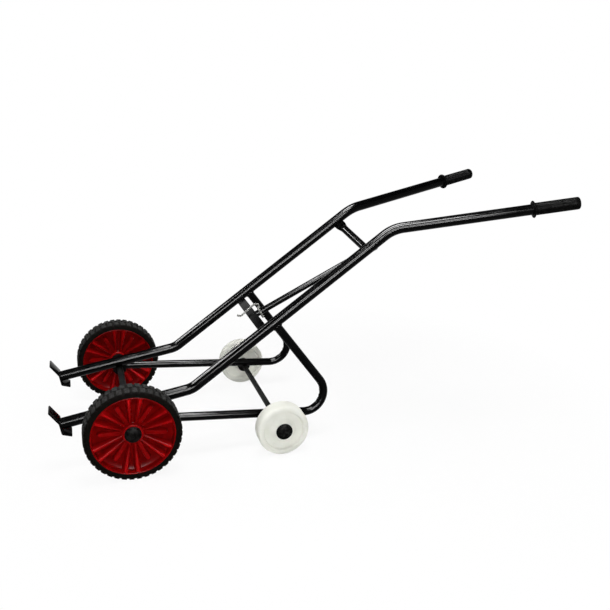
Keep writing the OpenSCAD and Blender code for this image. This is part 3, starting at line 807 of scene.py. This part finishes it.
# %% [markdown]
# ## Weld beads
# Where one tube meets another, a bead of weld fills the corner, laid as a row of overlapping drops and
# painted over. Each bead is a thin ring that follows the joint: a torus is spun round the thinner tube,
# every vertex slides along that tube until it reaches the thicker one, and a ripple makes the drops.

# %% Lay the welds
beads = bmesh.new()
drops = random.Random(7)


def bead(foot, way, radius, onto, onto_way, onto_radius, size):
    """A bead round the tube that comes along way to foot, where it meets the tube through onto."""
    way, onto_way = way.normalized(), onto_way.normalized()
    bm = bmesh.new()
    bmesh.ops.create_circle(bm, segments=8, radius=size, matrix=Matrix.Translation((radius, 0, 0))
                            @ Matrix.Rotation(math.pi / 2, 4, "X"))
    bmesh.ops.spin(bm, geom=bm.verts[:] + bm.edges[:], cent=(0, 0, 0), axis=(0, 0, 1), angle=2 * math.pi,
                   steps=72, use_merge=True, use_duplicate=False)
    phase = drops.uniform(0, 6)
    for v in bm.verts:
        round_it = math.atan2(v.co.y, v.co.x)
        ripple_here = 1 + 0.22 * math.sin(round_it * 17 + phase) + 0.1 * math.sin(round_it * 7 + 2 * phase)
        middle = Vector((math.cos(round_it), math.sin(round_it), 0)) * radius
        v.co = middle + (v.co - middle) * ripple_here
    bmesh.ops.transform(bm, matrix=Matrix.Translation(foot)
                        @ Vector((0, 0, 1)).rotation_difference(way).to_matrix().to_4x4(), verts=bm.verts)
    for v in bm.verts:
        off = v.co - foot
        ring_point = foot + (off - way * off.dot(way)).normalized() * radius
        away = ring_point - onto
        flat = away - onto_way * away.dot(onto_way)
        along = way - onto_way * way.dot(onto_way)
        a, b, c = along.dot(along), 2 * flat.dot(along), flat.dot(flat) - onto_radius ** 2
        root = max(b * b - 4 * a * c, 0.0) ** 0.5
        v.co += way * ((-b - root) / (2 * a))
    join(beads, bm)


for hand in (-1, 1):
    mirror_y = Vector((1, hand, 1))
    bead(loop_high * mirror_y, leg * mirror_y, LOOP_D / 2, corner_1 * mirror_y, mid_way, TUBE_D / 2, 2.6)
bead(lowest, rod_way, ROD_D / 2, lowest, Vector((0, 1, 0)), CROSS_D / 2, 2.0)
piece("weld_beads", beads, frame_paint, "frame", corner=60)
print("welds:", len(shapes["weld_beads"].data.polygons), "faces")

# %% [markdown]
# ## Finishes for the solids that stay
# The main axle and the black collars inside the wheels and rollers have their right shape already. They
# only need a finish, which goes into the material slots that the CAD solids brought along.

# %% Paint the CAD solids
kept_finish = {"main_axle": bar_paint}
for side_name in SIDES:
    kept_finish["axle_collar_" + side_name] = cap.material
    kept_finish["roller_collar_" + side_name] = cap.material
for name, material in kept_finish.items():
    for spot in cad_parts[name].material_slots:
        spot.material = material
print("painted", ", ".join(kept_finish))

# %% [markdown]
# ## Floor and light
# The photograph is a cut-out on white. A pale floor keeps the trolley's soft shadow close by and fades
# to plain white further off, by mixing in plain light where a ray from the camera or a mirrored one
# lands. The floor is fully matt, so that it throws no lamp's mirror image back at the trolley. The world
# adds a weak, even light from all round, and its white band stands behind the trolley like a backdrop.

# %% Lay the floor
FLOOR_R, FADE_FROM, FADE_TO, FADE_START = 14.0, 0.5, 1.1, 0.9
bm = bmesh.new()
bmesh.ops.create_circle(bm, cap_ends=True, segments=96, radius=FLOOR_R)
mesh = bpy.data.meshes.new("floor")
bm.to_mesh(mesh)
bm.free()
floor = bpy.data.objects.new("floor", mesh)
bpy.context.scene.collection.objects.link(floor)

pale = Finish("pale_floor", Roughness=1.0, Specular_IOR_Level=0.0)
speck = pale.ramp(pale.grain(0.5, 3.0), 0.3, 0.7)
pale.feed("Base Color", pale.blend(speck, (0.88, 0.88, 0.88), (0.90, 0.90, 0.90)))
distance = pale.node("ShaderNodeVectorMath", {"operation": "LENGTH"}, {0: pale.place}, output="Value")
fade = pale.ramp(distance, FADE_FROM, FADE_TO, FADE_START, 1.0) * pale.seen()
white = pale.node("ShaderNodeEmission", {}, {"Color": (1, 1, 1, 1), "Strength": 1.0})
shown = pale.node("ShaderNodeMixShader", {}, {0: fade, 1: Signal(pale, pale.shader.outputs[0]), 2: white})
pale.plug(pale.tree.nodes["Material Output"].inputs["Surface"], shown)
mesh.materials.append(pale.material)
print("floor laid")

# %% [markdown]
# ## Lamps
# The streaks along the tubes tell where the lamps were: a long strip behind the camera at head height,
# and two under the ceiling. Each is hung twice. The first is soft and plain and lights every surface. The
# second stands in the same place, wider and much stronger, but only mirrored rays see it. So the paint
# can mirror the room as faintly as the photograph shows and still draw bright lines, while the red, the
# rubber and the nylon keep the colours written for them.

# %% Hang the lamps
def strip_lamp(name, start, end, aim, width, radiance, mirrored_only=False):
    """A soft rectangular lamp from start to end, in workshop millimetres, as bright as radiance says."""
    start, end, aim = (PARK @ Vector(p) for p in (start, end, aim))
    along, middle = end - start, (start + end) / 2
    data = bpy.data.lights.new(name, "AREA")
    data.shape, data.size, data.size_y = "RECTANGLE", along.length, width
    data.energy = radiance * math.pi * along.length * width
    back = (middle - aim).normalized()
    rail = along.normalized()
    turned_to = Matrix((rail, back.cross(rail), back)).transposed()
    made = bpy.data.objects.new(name, data)
    made.matrix_world = Matrix.Translation(middle) @ turned_to.to_4x4()
    made.visible_diffuse = not mirrored_only
    bpy.context.scene.collection.objects.link(made)
    return made


head_strip = ((-750, -2500, 1300), (870, -2500, 1374), (125, 0, 200))
front_strip = ((-2700, 900, 2500), (-1850, 900, 2500), (-2100, 0, 0))
rear_strip = ((-400, -400, 2500), (720, -400, 2500), (225, -400, 0))
strip_lamp("head_height_strip", *head_strip, 0.7, 7)
strip_lamp("ceiling_front", *front_strip, 0.8, 8)
strip_lamp("ceiling_rear", *rear_strip, 0.8, 15)
strip_lamp("head_height_shine", *head_strip, 1.2, 235, mirrored_only=True)
strip_lamp("front_shine", *front_strip, 1.8, 290, mirrored_only=True)
strip_lamp("rear_shine", *rear_strip, 1.8, 290, mirrored_only=True)

ROOM_LIGHT = 0.22
world = bpy.data.worlds.new("studio")
bpy.context.scene.world = world
world.use_nodes = True
studio = Graph(world.node_tree)
_, _, height = studio.parts(studio.node("ShaderNodeTexCoord", output="Generated"))
backdrop = studio.ramp(height, 0.3, 0.55, 1.0, 0.05)
level = studio.seen() * (backdrop - ROOM_LIGHT) + ROOM_LIGHT
studio.plug(world.node_tree.nodes["Background"].inputs["Color"], (1, 1, 1, 1))
studio.plug(world.node_tree.nodes["Background"].inputs["Strength"], level)
bpy.context.scene.view_settings.view_transform = "Standard"
